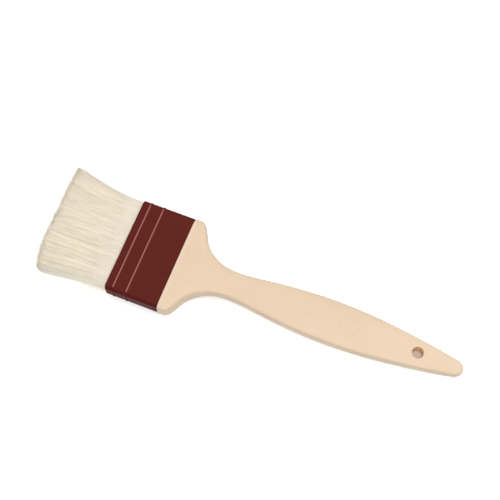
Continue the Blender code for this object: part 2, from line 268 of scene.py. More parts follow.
# Stage: the floor, the room's brightness by height, two soft boxes and the camera.
FLOOR_EDGE = SHOULDER_X - 18.5 * MM
FLOOR_FOOT = MOUTH_X - 66.0 * MM
FLOOR_DEPTH = 48.0 * MM
FLOOR_REACH = 30.0
FLOOR_ROLL_STEPS = 48
RAMP_SLOPE = 0.0158
RAMP_START = SHOULDER_X + 6.0 * MM
RAMP_END = SHOULDER_X + HANDLE_LENGTH
ROOM_STRENGTH = 2.0
ROOM_LEVELS = ((0.0, 0.53), (0.12, 0.53), (0.25, 0.2), (1.0, 1.0))
FRONT_BOX = {"direction": (0.1, -0.6, 0.8), "distance": 1.2, "size": (0.6, 0.6), "radiance": 4.4}
STRIP_BOX = {"direction": (0.53, 0.33, 0.78), "distance": 0.9, "size": (0.08, 0.5), "radiance": 22.0}
CAMERA_AZIMUTH = 23.39
CAMERA_ELEVATION = 68.91
CAMERA_ROLL = -1.91
CAMERA_DISTANCE = 0.6574
CAMERA_LENS = 79.2
CAMERA_SENSOR = 36.0
CAMERA_TARGET = Vector((MOUTH_X + 70.1 * MM, 25.0 * MM, MIDDLE_Z))


# Curves ---------------------------------------------------------------------------------------------


def smooth_step(t):
    """Smooth rise from 0 to 1 while t goes from 0 to 1."""
    t = np.clip(t, 0.0, 1.0)
    return t * t * (3 - 2 * t)


def rise_between(value, limits):
    """Smooth rise from 0 to 1 while the value goes from the lower to the upper limit."""
    return smooth_step((value - limits[0]) / (limits[1] - limits[0]))


def smooth_value(stations, position):
    """Values at positions on the smooth curve through (position, value) stations."""
    xs = np.array([s[0] for s in stations])
    ys = np.array([s[1] for s in stations])
    low = np.maximum(np.arange(len(xs)) - 1, 0)
    high = np.minimum(np.arange(len(xs)) + 1, len(xs) - 1)
    slopes = (ys[high] - ys[low]) / (xs[high] - xs[low])
    i = np.clip(np.searchsorted(xs, position, side="left") - 1, 0, len(xs) - 2)
    span = xs[i + 1] - xs[i]
    t = np.clip((position - xs[i]) / span, 0.0, 1.0)
    rise = t * t * (3 - 2 * t)
    leave = t * (1 - t) ** 2 * span * slopes[i]
    arrive = t * t * (t - 1) * span * slopes[i + 1]
    return ys[i] + (ys[i + 1] - ys[i]) * rise + leave + arrive


def even_ring(points, count):
    """Closed convex outline resampled evenly by a mix of its length and its turning."""
    ahead = np.roll(points, -1, axis=0) - points
    lengths = np.hypot(ahead[:, 0], ahead[:, 1])
    headings = np.unwrap(np.arctan2(ahead[:, 1], ahead[:, 0]))
    turning = np.abs(np.diff(np.append(headings, headings[0] + 2 * math.pi)))
    share = (1 - TURNING_SHARE) * lengths / lengths.sum() + TURNING_SHARE * turning / turning.sum()
    along = np.concatenate([[0.0], np.cumsum(share)])
    closed = np.vstack([points, points[:1]])
    at = np.arange(count) / count * along[-1]
    return np.stack([np.interp(at, along, closed[:, k]) for k in (0, 1)], axis=1)


def superellipse(half_a, half_b, roundness):
    """Closed outline between an ellipse (roundness 2) and a rectangle (very large roundness)."""
    angle = np.arange(DENSE_POINTS) * 2 * math.pi / DENSE_POINTS
    c, s = np.cos(angle), np.sin(angle)
    a = np.sign(c) * np.abs(c) ** (2 / roundness) * half_a
    b = np.sign(s) * np.abs(s) ** (2 / roundness) * half_b
    return np.stack([a, b], axis=1)


def rounded_outline(half_a, half_b, corner, corner_steps, long_steps, short_steps):
    """Points and outward normals of a rounded rectangle, from the middle of its +a side."""
    points, normals = [], []
    centres = [(1, 1), (-1, 1), (-1, -1), (1, -1)]
    sides = [short_steps, long_steps, short_steps, long_steps]
    for quarter, (sign_a, sign_b) in enumerate(centres):
        centre = np.array([sign_a * (half_a - corner), sign_b * (half_b - corner)])
        for i in range(corner_steps + 1):
            angle = math.pi / 2 * (quarter + i / corner_steps)
            normal = np.array([math.cos(angle), math.sin(angle)])
            points.append(centre + corner * normal)
            normals.append(normal)
        next_a, next_b = centres[(quarter + 1) % 4]
        next_centre = np.array([next_a * (half_a - corner), next_b * (half_b - corner)])
        following = next_centre + corner * normal
        count = sides[(quarter + 1) % 4]
        for i in range(1, count):
            points.append(points[-1] + (following - points[-1]) / (count - i + 1))
            normals.append(normal)
    return np.array(points), np.array(normals)


# Meshes ---------------------------------------------------------------------------------------------


def new_object(name, vertices, faces, sharp_angle=None):
    """Smooth mesh object, with sharp edges where its faces meet at more than an angle in degrees."""
    mesh = bpy.data.meshes.new(name)
    mesh.from_pydata([tuple(v) for v in vertices], [], faces)
    mesh.update()
    mesh.shade_smooth()
    if sharp_angle is not None:
        mesh.set_sharp_from_angle(angle=math.radians(sharp_angle))
    obj = bpy.data.objects.new(name, mesh)
    bpy.context.scene.collection.objects.link(obj)
    return obj


def add_attribute(obj, label, values):
    """Number at each vertex, which the materials read by its label."""
    attribute = obj.data.attributes.new(label, "FLOAT", "POINT")
    attribute.data.foreach_set("value", np.asarray(values, dtype=np.float32))


def handle_shape(position):
    """Half width, half thickness and roundness of the section at distances behind the ferrule."""
    fade = np.exp(-((position / SHOULDER_FADE) ** 2))
    roundness = GRIP_ROUNDNESS + (SHOULDER_ROUNDNESS - GRIP_ROUNDNESS) * fade
    into_nose = np.maximum(position - (HANDLE_LENGTH - HANDLE_NOSE), 0.0) / HANDLE_NOSE
    nose = np.sqrt(np.maximum(1.0 - into_nose * into_nose, 0.0))
    half_width = smooth_value(HANDLE_HALF_WIDTHS, position) * nose
    return half_width, smooth_value(HANDLE_HALF_THICKNESSES, position) * nose, roundness


def handle_top(position, y):
    """Height of the handle's skin over its middle plane."""
    half_width, half_thickness, roundness = handle_shape(position)
    across = np.clip(np.abs(y) / half_width, 0.0, 1.0)
    return half_thickness * (1 - across**roundness) ** (1 / roundness)


def handle_positions():
    """Distances behind the ferrule of the handle's rings, closer together where the shape has detail."""
    hole_reach = HOLE_STEP * (HOLE_BLOCK + 2)
    nose_start = HANDLE_LENGTH - HANDLE_NOSE
    relief_reach = RELIEF_RADII[0] + RELIEF_MARGIN
    zones = [
        (SHOULDER_EDGE + GAP, WAIST_START, SHOULDER_STEP),
        (WAIST_START, RELIEF_DISTANCE - relief_reach, WAIST_STEP),
        (RELIEF_DISTANCE - relief_reach, RELIEF_DISTANCE + relief_reach, RELIEF_STEP),
        (RELIEF_DISTANCE + relief_reach, HOLE_DISTANCE - hole_reach, GRIP_STEP),
        (HOLE_DISTANCE - hole_reach, HOLE_DISTANCE + hole_reach, HOLE_STEP),
        (HOLE_DISTANCE + hole_reach, nose_start, END_STEP),
    ]
    positions = []
    for start, end, step in zones:
        count = max(1, round((end - start) / step))
        positions += [start + (end - start) * i / count for i in range(count)]
    for i in range(NOSE_STEPS):
        positions.append(nose_start + HANDLE_NOSE * math.sin(math.pi / 2 * i / NOSE_STEPS))
    return np.array(positions)


def tenon_rings():
    """Rings of the tenon inside the ferrule, with the groove that the ferrule's bead snaps into."""
    groove = SHOULDER_X - SNAP_DISTANCE
    half = SNAP_WIDTH / 2 + GAP
    stops = [
        (TENON_X, TENON_CHAMFER),
        (TENON_X + TENON_CHAMFER, 0.0),
        (groove - half, 0.0),
        (groove - half + GROOVE_SLOPE, GROOVE_DEPTH),
        (groove + half - GROOVE_SLOPE, GROOVE_DEPTH),
        (groove + half, 0.0),
        (SHOULDER_X + GAP, 0.0),
    ]
    rings = []
    for x, inset in stops:
        half_width, half_thickness = FILL_HALF_WIDTH - inset, FILL_HALF_THICKNESS - inset
        outline, _ = rounded_outline(
            half_width, half_thickness, FILL_CORNER, corner_steps=24, long_steps=24, short_steps=8
        )
        start = np.argmin(np.abs(outline[:, 1]) - outline[:, 0])
        rings.append((x, even_ring(np.roll(outline, -start, axis=0), RING_POINTS)))
    return rings


def shoulder_rings():
    """Rings that round the shoulder's front edge, from its flat face to its skin."""
    half_width, half_thickness, roundness = (values[0] for values in handle_shape(np.array([GAP])))
    ring = even_ring(superellipse(half_width, half_thickness, roundness), RING_POINTS)
    rings = []
    for i in range(SHOULDER_EDGE_STEPS):
        turn = math.pi / 2 * i / SHOULDER_EDGE_STEPS
        inset = SHOULDER_EDGE * (1 - math.sin(turn))
        scale = np.array([1 - inset / half_width, 1 - inset / half_thickness])
        rings.append((SHOULDER_X + GAP + SHOULDER_EDGE * (1 - math.cos(turn)), ring * scale))
    return rings


def handle_grid():
    """(rings, points, 3) grid of the handle's skin, with the moulding seam along both of its sides."""
    rings = tenon_rings() + shoulder_rings()
    first_grip_ring = len(rings)
    positions = handle_positions()
    for position, *shape in zip(positions, *handle_shape(positions)):
        rings.append((SHOULDER_X + position, even_ring(superellipse(*shape), RING_POINTS)))
    grid = np.array([[(x, y, z) for y, z in ring] for x, ring in rings])
    last_seam_ring = len(rings) - 4
    for seam in (0, RING_POINTS // 2):
        side = grid[first_grip_ring, seam, 1]
        grid[first_grip_ring:last_seam_ring, seam, 1] += math.copysign(SEAM_HEIGHT, side)
    return grid


def raise_relief(grid):
    """A plain oval ring in low relief on the top of the grip."""
    along = (grid[..., 0] - SHOULDER_X - RELIEF_DISTANCE) / RELIEF_RADII[0]
    across = grid[..., 1] / RELIEF_RADII[1]
    off_ring = (np.hypot(along, across) - 1) * RELIEF_RADII[1] / (RELIEF_WIDTH / 2)
    bump = np.where(np.abs(off_ring) < 1, 0.5 + 0.5 * np.cos(math.pi * off_ring), 0.0)
    grid[..., 2] += RELIEF_HEIGHT * bump * (grid[..., 2] > 0)


def square_loop(k):
    """(i, j) steps round a square at k steps from its centre, with the angle each has on a circle."""
    loop = []
    for q in range(8 * k):
        side, step = divmod(q, 2 * k)
        corner_to_corner = [(k, step - k), (k - step, k), (-k, k - step), (step - k, -k)]
        loop.append((*corner_to_corner[side], math.pi / 4 * (q / k - 1)))
    return loop


def open_hole(grid, ring, top):
    """Spread the grid round the hole's centre into circles, so that a round loop bounds the hole."""
    column = RING_POINTS // 4 if top else 3 * RING_POINTS // 4
    toward = -1 if top else 1
    rim = HOLE_RADIUS + HOLE_LIP
    centre = np.array([SHOULDER_X + HOLE_DISTANCE, 0.0])
    source = grid.copy()
    for k in range(HOLE_LOOPS, HOLE_BLOCK):
        share = (k - HOLE_LOOPS) / (HOLE_BLOCK - HOLE_LOOPS)
        radius = rim + (HOLE_SURROUND - rim) * share
        keep = smooth_step(share)
        for i, j, angle in square_loop(k):
            at = (ring + i, column + toward * j)
            circle = centre + radius * np.array([math.cos(angle), math.sin(angle)])
            grid[at][:2] = circle * (1 - keep) + source[at][:2] * keep
            height = handle_top(grid[at][0] - SHOULDER_X, grid[at][1])
            grid[at][2] = height if top else -height
    return [(ring + i, column + toward * j) for i, j, _ in square_loop(HOLE_LOOPS)]


def hole_lip(loop_points, top):
    """Rings that roll from the skin's round loop over a rounded lip into the hole."""
    centre = np.array([SHOULDER_X + HOLE_DISTANCE, 0.0])
    spokes = loop_points[:, :2] - centre
    spokes /= np.linalg.norm(spokes, axis=1)[:, None]
    down = -1 if top else 1
    rings = []
    for i in range(1, LIP_STEPS + 1):
        turn = math.pi / 2 * i / LIP_STEPS
        radius = HOLE_RADIUS + HOLE_LIP * (1 - math.sin(turn))
        drop = HOLE_LIP * (1 - math.cos(turn))
        flat = centre + spokes * radius
        rings.append(np.column_stack([flat, loop_points[:, 2] + down * drop]))
    return rings


def grid_index(i, j):
    """Number of a grid point in the handle's list of vertices."""
    return i * RING_POINTS + j % RING_POINTS


def skin_faces(ring_count, hole_ring, tip):
    """Faces between the handle's rings, without the two squares that the hole takes out."""
    cut = set()
    for column in (RING_POINTS // 4, 3 * RING_POINTS // 4):
        for i in range(-HOLE_LOOPS, HOLE_LOOPS):
            for j in range(-HOLE_LOOPS, HOLE_LOOPS):
                cut.add((hole_ring + i, column + j))
    faces = []
    for i in range(ring_count - 1):
        for j in range(RING_POINTS):
            if (i, j) not in cut:
                below, above = (i, j), (i + 1, j)
                beyond_below, beyond_above = (i, j + 1), (i + 1, j + 1)
                corners = (below, beyond_below, beyond_above, above)
                faces.append(tuple(grid_index(*corner) for corner in corners))
    faces.append(tuple(grid_index(0, j) for j in reversed(range(RING_POINTS))))
    last = ring_count - 1
    faces += [(grid_index(last, j), grid_index(last, j + 1), tip) for j in range(RING_POINTS)]
    return faces


def add_rings(vertices, loop, rings):
    """Append rings of points to the vertices; gives the numbers of the loop's and the rings' points."""
    numbers = [[grid_index(*at) for at in loop]]
    for points in rings:
        numbers.append(list(range(len(vertices), len(vertices) + len(points))))
        vertices.extend(points)
    return numbers


def wall_faces(chain):
    """Faces between the neighbours in a chain of equal rings."""
    faces = []
    for ring_a, ring_b in zip(chain, chain[1:]):
        for q in range(len(ring_a)):
            r = (q + 1) % len(ring_a)
            faces.append((ring_a[q], ring_a[r], ring_b[r], ring_b[q]))
    return faces


def make_handle():
    """The handle's moulding: one closed skin with its tenon, relief and hanging hole."""
    grid = handle_grid()
    raise_relief(grid)
    hole_ring = int(np.argmin(np.abs(grid[:, 0, 0] - SHOULDER_X - HOLE_DISTANCE)))
    top_loop = open_hole(grid, hole_ring, top=True)
    under_loop = open_hole(grid, hole_ring, top=False)
    vertices = list(grid.reshape(-1, 3))
    tip = len(vertices)
    vertices.append(np.array([SHOULDER_X + HANDLE_LENGTH, 0.0, 0.0]))
    faces = skin_faces(len(grid), hole_ring, tip)

    top_rings = hole_lip(np.array([grid[at] for at in top_loop]), top=True)
    under_rings = hole_lip(np.array([grid[at] for at in under_loop]), top=False)
    lip_points = sum(len(points) for points in top_rings[:-1])
    wall_start, wall_end = top_rings[-1], under_rings[-1]
    for i in range(1, WALL_STEPS):
        top_rings.append(wall_start + (wall_end - wall_start) * i / WALL_STEPS)
    down = add_rings(vertices, top_loop, top_rings)
    up = add_rings(vertices, under_loop, under_rings)
    faces += wall_faces(down + up[::-1])

    used = sorted({v for face in faces for v in face})
    renumber = {v: n for n, v in enumerate(used)}
    faces = [tuple(renumber[v] for v in face) for face in faces]
    place = np.array([0.0, 0.0, MIDDLE_Z])
    obj = new_object("handle_moulding", [vertices[v] + place for v in used], faces, sharp_angle=38)
    # The bore's wall, which the material paints with a warm glow.
    add_attribute(obj, "bore", [float(v > tip + lip_points) for v in used])
    # Painted shade: where the skin's normal leans sideways, the material paints it darker and greyer.
    normals = np.zeros(3 * len(used), dtype=np.float32)
    obj.data.vertex_normals.foreach_get("vector", normals)
    sideways = np.hypot(normals[0::3], normals[1::3])
    add_attribute(obj, "flank", rise_between(sideways, HANDLE_FLANK_SHADE) ** HANDLE_FLANK_SHADE_POWER)
    return obj


def rib_profile(distance):
    """Rib with a short flank towards the mouth and a longer, gentle one towards the handle."""
    foot = distance - RIB_WIDTH * RIB_LEAD
    points = []
    for i in range(RIB_STEPS + 1):
        share = i / RIB_STEPS
        rise = float(smooth_step(share / RIB_CREST))
        fall = (share - RIB_CREST) / (1 - RIB_CREST)
        height = rise if share < RIB_CREST else 1 - fall
        points.append((foot + RIB_WIDTH * share, RIB_HEIGHT * height))
    return soften(points, RIB_SOFTENING)


def soften(points, rounds):
    """Average each inner point's height with its neighbours, which rounds the corners."""
    heights = np.array([p[1] for p in points])
    for _ in range(rounds):
        heights[1:-1] = (heights[:-2] + 2 * heights[1:-1] + heights[2:]) / 4
    return [(p[0], float(h)) for p, h in zip(points, heights)]


def add_run(points, end, height, steps, kept):
    """Add the first of the even steps of a straight stretch from the last point to its end."""
    start = points[-1][0]
    points += [(start + (end - start) * i / steps, height) for i in range(1, kept + 1)]


def ferrule_profile():
    """Section of the ferrule's wall, as (distance from the mouth, height over the outer face)."""
    length = SHOULDER_X - MOUTH_X
    inner = -FERRULE_WALL
    edge = FERRULE_EDGE
    bevel = edge * 0.3
    points = []
    for i in range(RIM_STEPS + 1):
        turn = math.pi / 2 * i / RIM_STEPS
        points.append((FERRULE_RIM * (1 - math.cos(turn)), FERRULE_RIM * (math.sin(turn) - 1)))
    for distance in RIB_DISTANCES:
        add_run(points, distance - RIB_WIDTH / 2, 0.0, steps=4, kept=3)
        points += rib_profile(distance)
    add_run(points, length - edge, 0.0, steps=12, kept=12)
    points += [(length - bevel, -bevel), (length, -edge)]
    points += [(length, inner + edge), (length - edge, inner)]
    for i in range(BEAD_STEPS + 1):
        share = i / BEAD_STEPS
        bead_height = SNAP_HEIGHT * math.sin(math.pi * share)
        points.append((length - SNAP_DISTANCE + SNAP_WIDTH * (0.5 - share), inner - bead_height))
    add_run(points, edge, inner, steps=6, kept=6)
    points += [(bevel, inner + bevel), (0.0, inner + edge)]
    return points


def make_ferrule():
    """The sleeve: the section of its wall carried round a rounded rectangle."""
    outline, normals = rounded_outline(
        FERRULE_HALF_WIDTH,
        FERRULE_HALF_THICKNESS,
        FERRULE_CORNER,
        corner_steps=16,
        long_steps=56,
        short_steps=8,
    )
    profile = ferrule_profile()
    around, across = len(outline), len(profile)
    vertices = []
    for (y, z), (ny, nz) in zip(outline, normals):
        for distance, height in profile:
            vertices.append((MOUTH_X + distance, y + ny * height, MIDDLE_Z + z + nz * height))
    faces = []
    for i in range(around):
        for j in range(across):
            a, b = i * across, (i + 1) % around * across
            k = (j + 1) % across
            faces.append((a + j, a + k, b + k, b + j))
    obj = new_object("ferrule_sleeve", vertices, faces, sharp_angle=50)
    # Painted tones: shade on the narrow sides, and a highlight on the ribs' crests across the broad
    # faces.
    broad = rise_between(np.abs(normals[:, 1]), FERRULE_BROAD)
    flank = rise_between(np.abs(normals[:, 0]), FERRULE_FLANK_SHADE)
    crest_highlight = np.array([max(height, 0.0) / RIB_HEIGHT for _, height in profile])
    add_attribute(obj, "flank", np.repeat(flank, across))
    add_attribute(obj, "crest_highlight", np.outer(broad, crest_highlight).ravel())
    return obj


# Bristles -------------------------------------------------------------------------------------------


def clump_centres(rng):
    """Places of the locks in one bank, as shares across (-1 to 1) and deep (0 inner to 1 outer)."""
    across, deep = np.meshgrid(
        (np.arange(CLUMPS_ACROSS) + 0.5) / CLUMPS_ACROSS * 2 - 1,
        (np.arange(CLUMPS_DEEP) + 0.5) / CLUMPS_DEEP,
    )
    jitter_across = rng.uniform(-CLUMP_JITTER_ACROSS, CLUMP_JITTER_ACROSS, across.size) / CLUMPS_ACROSS
    jitter_deep = rng.uniform(-CLUMP_JITTER_DEEP, CLUMP_JITTER_DEEP, deep.size) / CLUMPS_DEEP
    return np.clip(across.ravel() + jitter_across, -1, 1), np.clip(deep.ravel() + jitter_deep, 0, 1)


def nearest_clump(across, deep, clumps):
    """Number of the lock that each strand belongs to."""
    gap = (across[:, None] - clumps[0][None, :]) ** 2 * CLUMP_SLENDERNESS**2
    gap += (deep[:, None] - clumps[1][None, :]) ** 2
    return np.argmin(gap, axis=1)


def flare(across):
    """Sideways travel of a strand's tip, larger towards the two sides of the fan."""
    side = np.where(across > 0, FLARE_LEFT, -FLARE_RIGHT)
    return side * np.abs(across) ** FLARE_CROWDING


def strand_places(numbers):
    """Evenly spread places of strands, as shares across (-1 to 1) and deep (0 inner to 1 outer)."""
    across = 2 * ((0.5 + numbers * SPREAD_ACROSS) % 1.0) - 1
    deep = ((0.5 + numbers * SPREAD_DEEP) % 1.0) ** OUTWARD_CROWDING
    return across, deep


def strand_lengths(rng, across, deep, sign, lock_lengths):
    """Free lengths, which end near the tip line; the lower bank's are a little shorter."""
    count = across.size
    length = smooth_value(TIP_LINE, across * MOUTH_HALF_WIDTH + flare(across))
    length = length + lock_lengths - rng.normal(FEATHER_MEAN, FEATHER_SPREAD, count)
    length = length + sign * deep * BELLY_OUTER * TIP_SLANT
    length = np.clip(length, SHORTEST_SHARE * BRISTLE_LENGTH, BRISTLE_LENGTH + LONGEST_EXCESS)
    long = rng.random(count) < LONG_SHARE
    length = np.where(long, length + rng.uniform(0.0, LONG_EXCESS_MM, count) * MM, length)
    short = rng.random(count) < SHORT_SHARE
    return np.where(short, length - rng.uniform(*SHORT_RANGE_MM, count) * MM, length)


def strand_leans(rng, lock_leans_y, lock_leans_z):
    """Travel of each tip across and through the bank; a few stray strands lean further across."""
    count = lock_leans_y.size
    stray = rng.random(count) < STRAY_SHARE
    lean_y = lock_leans_y + rng.normal(0, LEAN_Y, count)
    lean_z = lock_leans_z + rng.normal(0, LEAN_Z, count)
    return lean_y + np.where(stray, rng.normal(0, STRAY_LEAN, count), 0.0), lean_z


def strand_waves(rng, count):
    """Sizes, phase and number of turns of each strand's slow wave."""
    wave_y = rng.normal(0, WAVE_Y, count)
    wave_z = rng.normal(0, WAVE_Z, count)
    phase = rng.uniform(0, 2 * math.pi, count)
    turns = rng.uniform(*WAVE_TURNS, count)
    return wave_y, wave_z, phase, turns


def bank_section(t, across):
    """Height of a bank's inner face and its thickness there, at a share t of the free length."""
    inner = MOUTH_INNER * (1 - t) ** 2 - WELL_CLOSING * t
    outer = MOUTH_OUTER + (BELLY_OUTER - MOUTH_OUTER) * float(smooth_step(t / BELLY_SHARE))
    outer -= TIP_DROP * float(smooth_step((t - BELLY_SHARE) / (1 - BELLY_SHARE)))
    thinning = EDGE_THINNING * np.abs(across) ** EDGE_SHARPNESS
    thinning = thinning * float(smooth_step(t / THINNING_REACH))
    return inner, (outer - inner) * (1 - thinning)


def strand_paths(rng, numbers, sign, clumps, locks):
    """Centre lines (count, steps, 3), tones and nearness to a side of one piece's strands."""
    across, deep = strand_places(numbers)
    count = numbers.size
    lock = nearest_clump(across, deep, clumps)
    pull = locks["pull"][lock]
    across_pull = (clumps[0][lock] - across) * pull * MOUTH_HALF_WIDTH
    deep_pull = (clumps[1][lock] - deep) * pull * LOCK_PULL_DEEP
    length = strand_lengths(rng, across, deep, sign, locks["length"][lock])
    lean_y, lean_z = strand_leans(rng, locks["lean_y"][lock], locks["lean_z"][lock])
    wave_y, wave_z, phase, turns = strand_waves(rng, count)
    paths = np.zeros((count, len(FREE_SHARES) + 1, 3))
    paths[:, 0, 0] = ROOT_X
    paths[:, 0, 1] = across * ROOT_HALF_WIDTH
    paths[:, 0, 2] = MIDDLE_Z + sign * (ROOT_INNER + deep * (ROOT_OUTER - ROOT_INNER))
    for k, t in enumerate(FREE_SHARES, start=1):
        sway = np.sin(phase + turns * 2 * math.pi * t) - np.sin(phase)
        sway = sway * float(smooth_step(t / WAVE_START))
        inner, thickness = bank_section(t, across)
        y = across * MOUTH_HALF_WIDTH + flare(across) * t**FLARE_POWER
        y = y + across_pull * t**PULL_POWER + lean_y * t**LEAN_POWER + wave_y * sway
        z = inner + (deep + deep_pull * t**PULL_POWER) * thickness
        z = z + lean_z * t**LEAN_POWER + wave_z * sway
        paths[:, k, 0] = MOUTH_X - length * t
        paths[:, k, 1] = y
        paths[:, k, 2] = MIDDLE_Z + sign * z
    tone = np.clip(locks["tone"][lock] + rng.normal(0, STRAND_TONE, count), 0, 1)
    # The nearness to a side sets the painted shade on the bank's sides.
    return paths, tone, rise_between(np.abs(across), SIDE_SHADE_BAND)


def strand_faces(rings, last_point):
    """Faces of one strand: its closed root end, its sides and the point at its tip."""
    faces = [tuple(range(STRAND_SIDES))]
    for i in range(rings - 1):
        for j in range(STRAND_SIDES):
            a, b = i * STRAND_SIDES + j, i * STRAND_SIDES + (j + 1) % STRAND_SIDES
            faces.append((b, a, a + STRAND_SIDES, b + STRAND_SIDES))
    last = (rings - 1) * STRAND_SIDES
    for j in range(STRAND_SIDES):
        faces.append((last + (j + 1) % STRAND_SIDES, last + j, last_point))
    return faces


def strand_mesh(name, rng, paths, tone, side):
    """Closed three-sided tapered tubes round the paths, each ending in a point."""
    count = len(paths)
    along = np.array([0.0, *FREE_SHARES])
    rings = len(along) - 1
    girth = rng.uniform(*GIRTHS, count)
    taper = ROOT_RADIUS + (TIP_RADIUS - ROOT_RADIUS) * along**TAPER_POWER
    radius = taper[None, :-1] * girth[:, None]
    spin = rng.uniform(0, 2 * math.pi, count)
    corners = 2 * math.pi * np.arange(STRAND_SIDES) / STRAND_SIDES
    angles = spin[:, None] + corners[None, :]
    body = np.zeros((count, rings, STRAND_SIDES, 3))
    body += paths[:, :-1, None, :]
    body[..., 1] += radius[:, :, None] * np.cos(angles)[:, None, :]
    body[..., 2] += radius[:, :, None] * np.sin(angles)[:, None, :]
    vertices = np.concatenate([body.reshape(count, -1, 3), paths[:, -1:, :]], axis=1)
    per_strand = rings * STRAND_SIDES + 1
    pattern = strand_faces(rings, per_strand - 1)
    faces = [tuple(n * per_strand + v for v in face) for n in range(count) for face in pattern]
    obj = new_object(name, vertices.reshape(-1, 3), faces)
    point_shares = np.append(np.repeat(along[:-1], STRAND_SIDES), 1.0)
    add_attribute(obj, "tone", np.repeat(tone, per_strand))
    # Nearness to a side, for the painted shade on the bank's sides.
    add_attribute(obj, "side", np.repeat(side, per_strand))
    add_attribute(obj, "along", np.tile(point_shares, count))
    return obj


def make_bank(side, sign, seed, material):
    """The strands of the upper (sign 1) or the lower (sign -1) bank, in a few pieces."""
    rng = np.random.default_rng(seed)
    clumps = clump_centres(rng)
    size = clumps[0].size
    locks = {
        "pull": rng.uniform(0.0, LOCK_PULL, size),
        "length": rng.normal(0, LOCK_LENGTH, size),
        "lean_y": rng.normal(0, LOCK_LEAN_Y, size),
        "lean_z": rng.normal(0, LOCK_LEAN_Z, size),
        "tone": rng.uniform(*LOCK_TONES, size),
    }
    for number in range(1, PIECES_PER_BANK + 1):
        numbers = np.arange(STRANDS_PER_PIECE) + (number - 1) * STRANDS_PER_PIECE
        paths, tone, nearness = strand_paths(rng, numbers, sign, clumps, locks)
        obj = strand_mesh(f"{side}_bristles_{number}", rng, paths, tone, nearness)
        obj.data.materials.append(material)
        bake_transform(obj)
        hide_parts(f"{side}_bristle_bank", f"{side}_bristle_roots")


# Materials ------------------------------------------------------------------------------------------


class Shading:
    """A material's node tree, with short calls for the nodes that the surfaces share."""

    def __init__(self, name):
        self.material = bpy.data.materials.new(name)
        self.material.use_nodes = True
        self.tree = self.material.node_tree
        self.shader = self.tree.nodes["Principled BSDF"]
        coordinates = self.node("ShaderNodeTexCoord")
        self.place = coordinates.outputs["Object"]

    def node(self, kind, **settings):
        node = self.tree.nodes.new(kind)
        for key, value in settings.items():
            setattr(node, key, value)
        return node

    def put(self, node, **inputs):
        for key, value in inputs.items():
            socket = node.inputs[key.replace("_", " ")]
            if isinstance(value, bpy.types.NodeSocket):
                self.tree.links.new(value, socket)
            else:
                socket.default_value = value
        return node

    def stretched(self, x, y, z):
        mapping = self.node("ShaderNodeMapping")
        self.put(mapping, Vector=self.place, Scale=(x, y, z))
        return mapping.outputs["Vector"]

    def noise(self, scale, detail=3.0, vector=None, roughness=0.5):
        node = self.node("ShaderNodeTexNoise")
        self.put(node, Vector=vector or self.place, Scale=scale, Detail=detail, Roughness=roughness)
        return node.outputs["Fac"]

    def along_x(self):
        return self.put(self.node("ShaderNodeSeparateXYZ"), Vector=self.place).outputs["X"]

    def attribute(self, name):
        return self.node("ShaderNodeAttribute", attribute_name=name).outputs["Fac"]

    def ramp(self, factor, *stops):
        node = self.node("ShaderNodeValToRGB")
        elements = node.color_ramp.elements
        while len(elements) < len(stops):
            elements.new(0.5)
        for element, (position, color) in zip(elements, stops):
            element.position = position
            element.color = (*color, 1.0)
        self.put(node, Fac=factor)
        return node.outputs["Color"]

    def mix(self, factor, color_a, color_b):
        node = self.node("ShaderNodeMix", data_type="RGBA")
        for socket, value in ((0, factor), (6, color_a), (7, color_b)):
            if isinstance(value, bpy.types.NodeSocket):
                self.tree.links.new(value, node.inputs[socket])
            else:
                node.inputs[socket].default_value = value
        return node.outputs[2]

    def between(self, factor, low, high, from_low=0.0, from_high=1.0):
        node = self.node("ShaderNodeMapRange")
        self.put(node, Value=factor, To_Min=low, To_Max=high, From_Min=from_low, From_Max=from_high)
        return node.outputs["Result"]

    def bump(self, height, distance, strength=1.0, normal=None):
        node = self.node("ShaderNodeBump")
        self.put(node, Height=height, Distance=distance, Strength=strength)
        if normal is not None:
            self.put(node, Normal=normal)
        return node.outputs["Normal"]

    def surface(self, **inputs):
        self.put(self.shader, **inputs)
        return self.material


def ivory_plastic():
    """Moulded ivory plastic: faint flow marks, fine grain and scratches; painted shade on the flanks, a
    painted highlight along the shoulder's edge, a painted warm glow in the bore.
    """
    ivory_dark, ivory_light = (0.443, 0.339, 0.240), (0.457, 0.353, 0.252)
    speck_tone = (0.52, 0.37, 0.24, 1.0)
    shoulder_highlight_tone = (0.490, 0.375, 0.288, 1.0)
    flank_shade_tone = (0.374, 0.290, 0.207, 1.0)
    bore_glow_tone = (0.62, 0.395, 0.200, 1.0)
    s = Shading("ivory_moulded_plastic")
    flow = s.noise(1.0, 4.0, s.stretched(22, 70, 70), 0.55)
    speck = s.noise(900.0, 2.0)
    color = s.ramp(flow, (0.3, ivory_dark), (0.7, ivory_light))
    color = s.mix(s.between(speck, 0.0, 0.06, 0.45, 0.75), color, speck_tone)
    # Painted highlight: a lighter tone along the shoulder's front edge, next to the ferrule.
    edge = s.between(s.along_x(), 1.0, 0.0, SHOULDER_X + 0.6 * MM, SHOULDER_X + 3.0 * MM)
    color = s.mix(edge, color, shoulder_highlight_tone)
    # Painted shade: darker, greyer tone on the flanks.
    color = s.mix(s.attribute("flank"), color, flank_shade_tone)
    # Painted glow: a warm, lighter tone on the bore's wall stands in for light bounced inside the hole.
    color = s.mix(s.attribute("bore"), color, bore_glow_tone)
    scratch = s.noise(1.0, 2.0, s.stretched(60, 2600, 900), 0.4)
    scratch = s.between(scratch, 0.0, 1.0, 0.68, 0.8)
    rough = s.between(s.noise(140.0, 4.0), 0.40, 0.52, 0.3, 0.7)
    grain = s.bump(s.noise(2600.0, 2.0), 0.00003, 0.35)
    normal = s.bump(scratch, 0.00002, 0.25, grain)
    s.put(s.shader, Subsurface_Weight=0.12, Subsurface_Radius=(1.0, 0.55, 0.3), Subsurface_Scale=0.002)
    s.put(s.shader, Specular_IOR_Level=0.3)
    return s.surface(Base_Color=color, Roughness=rough, Normal=normal)


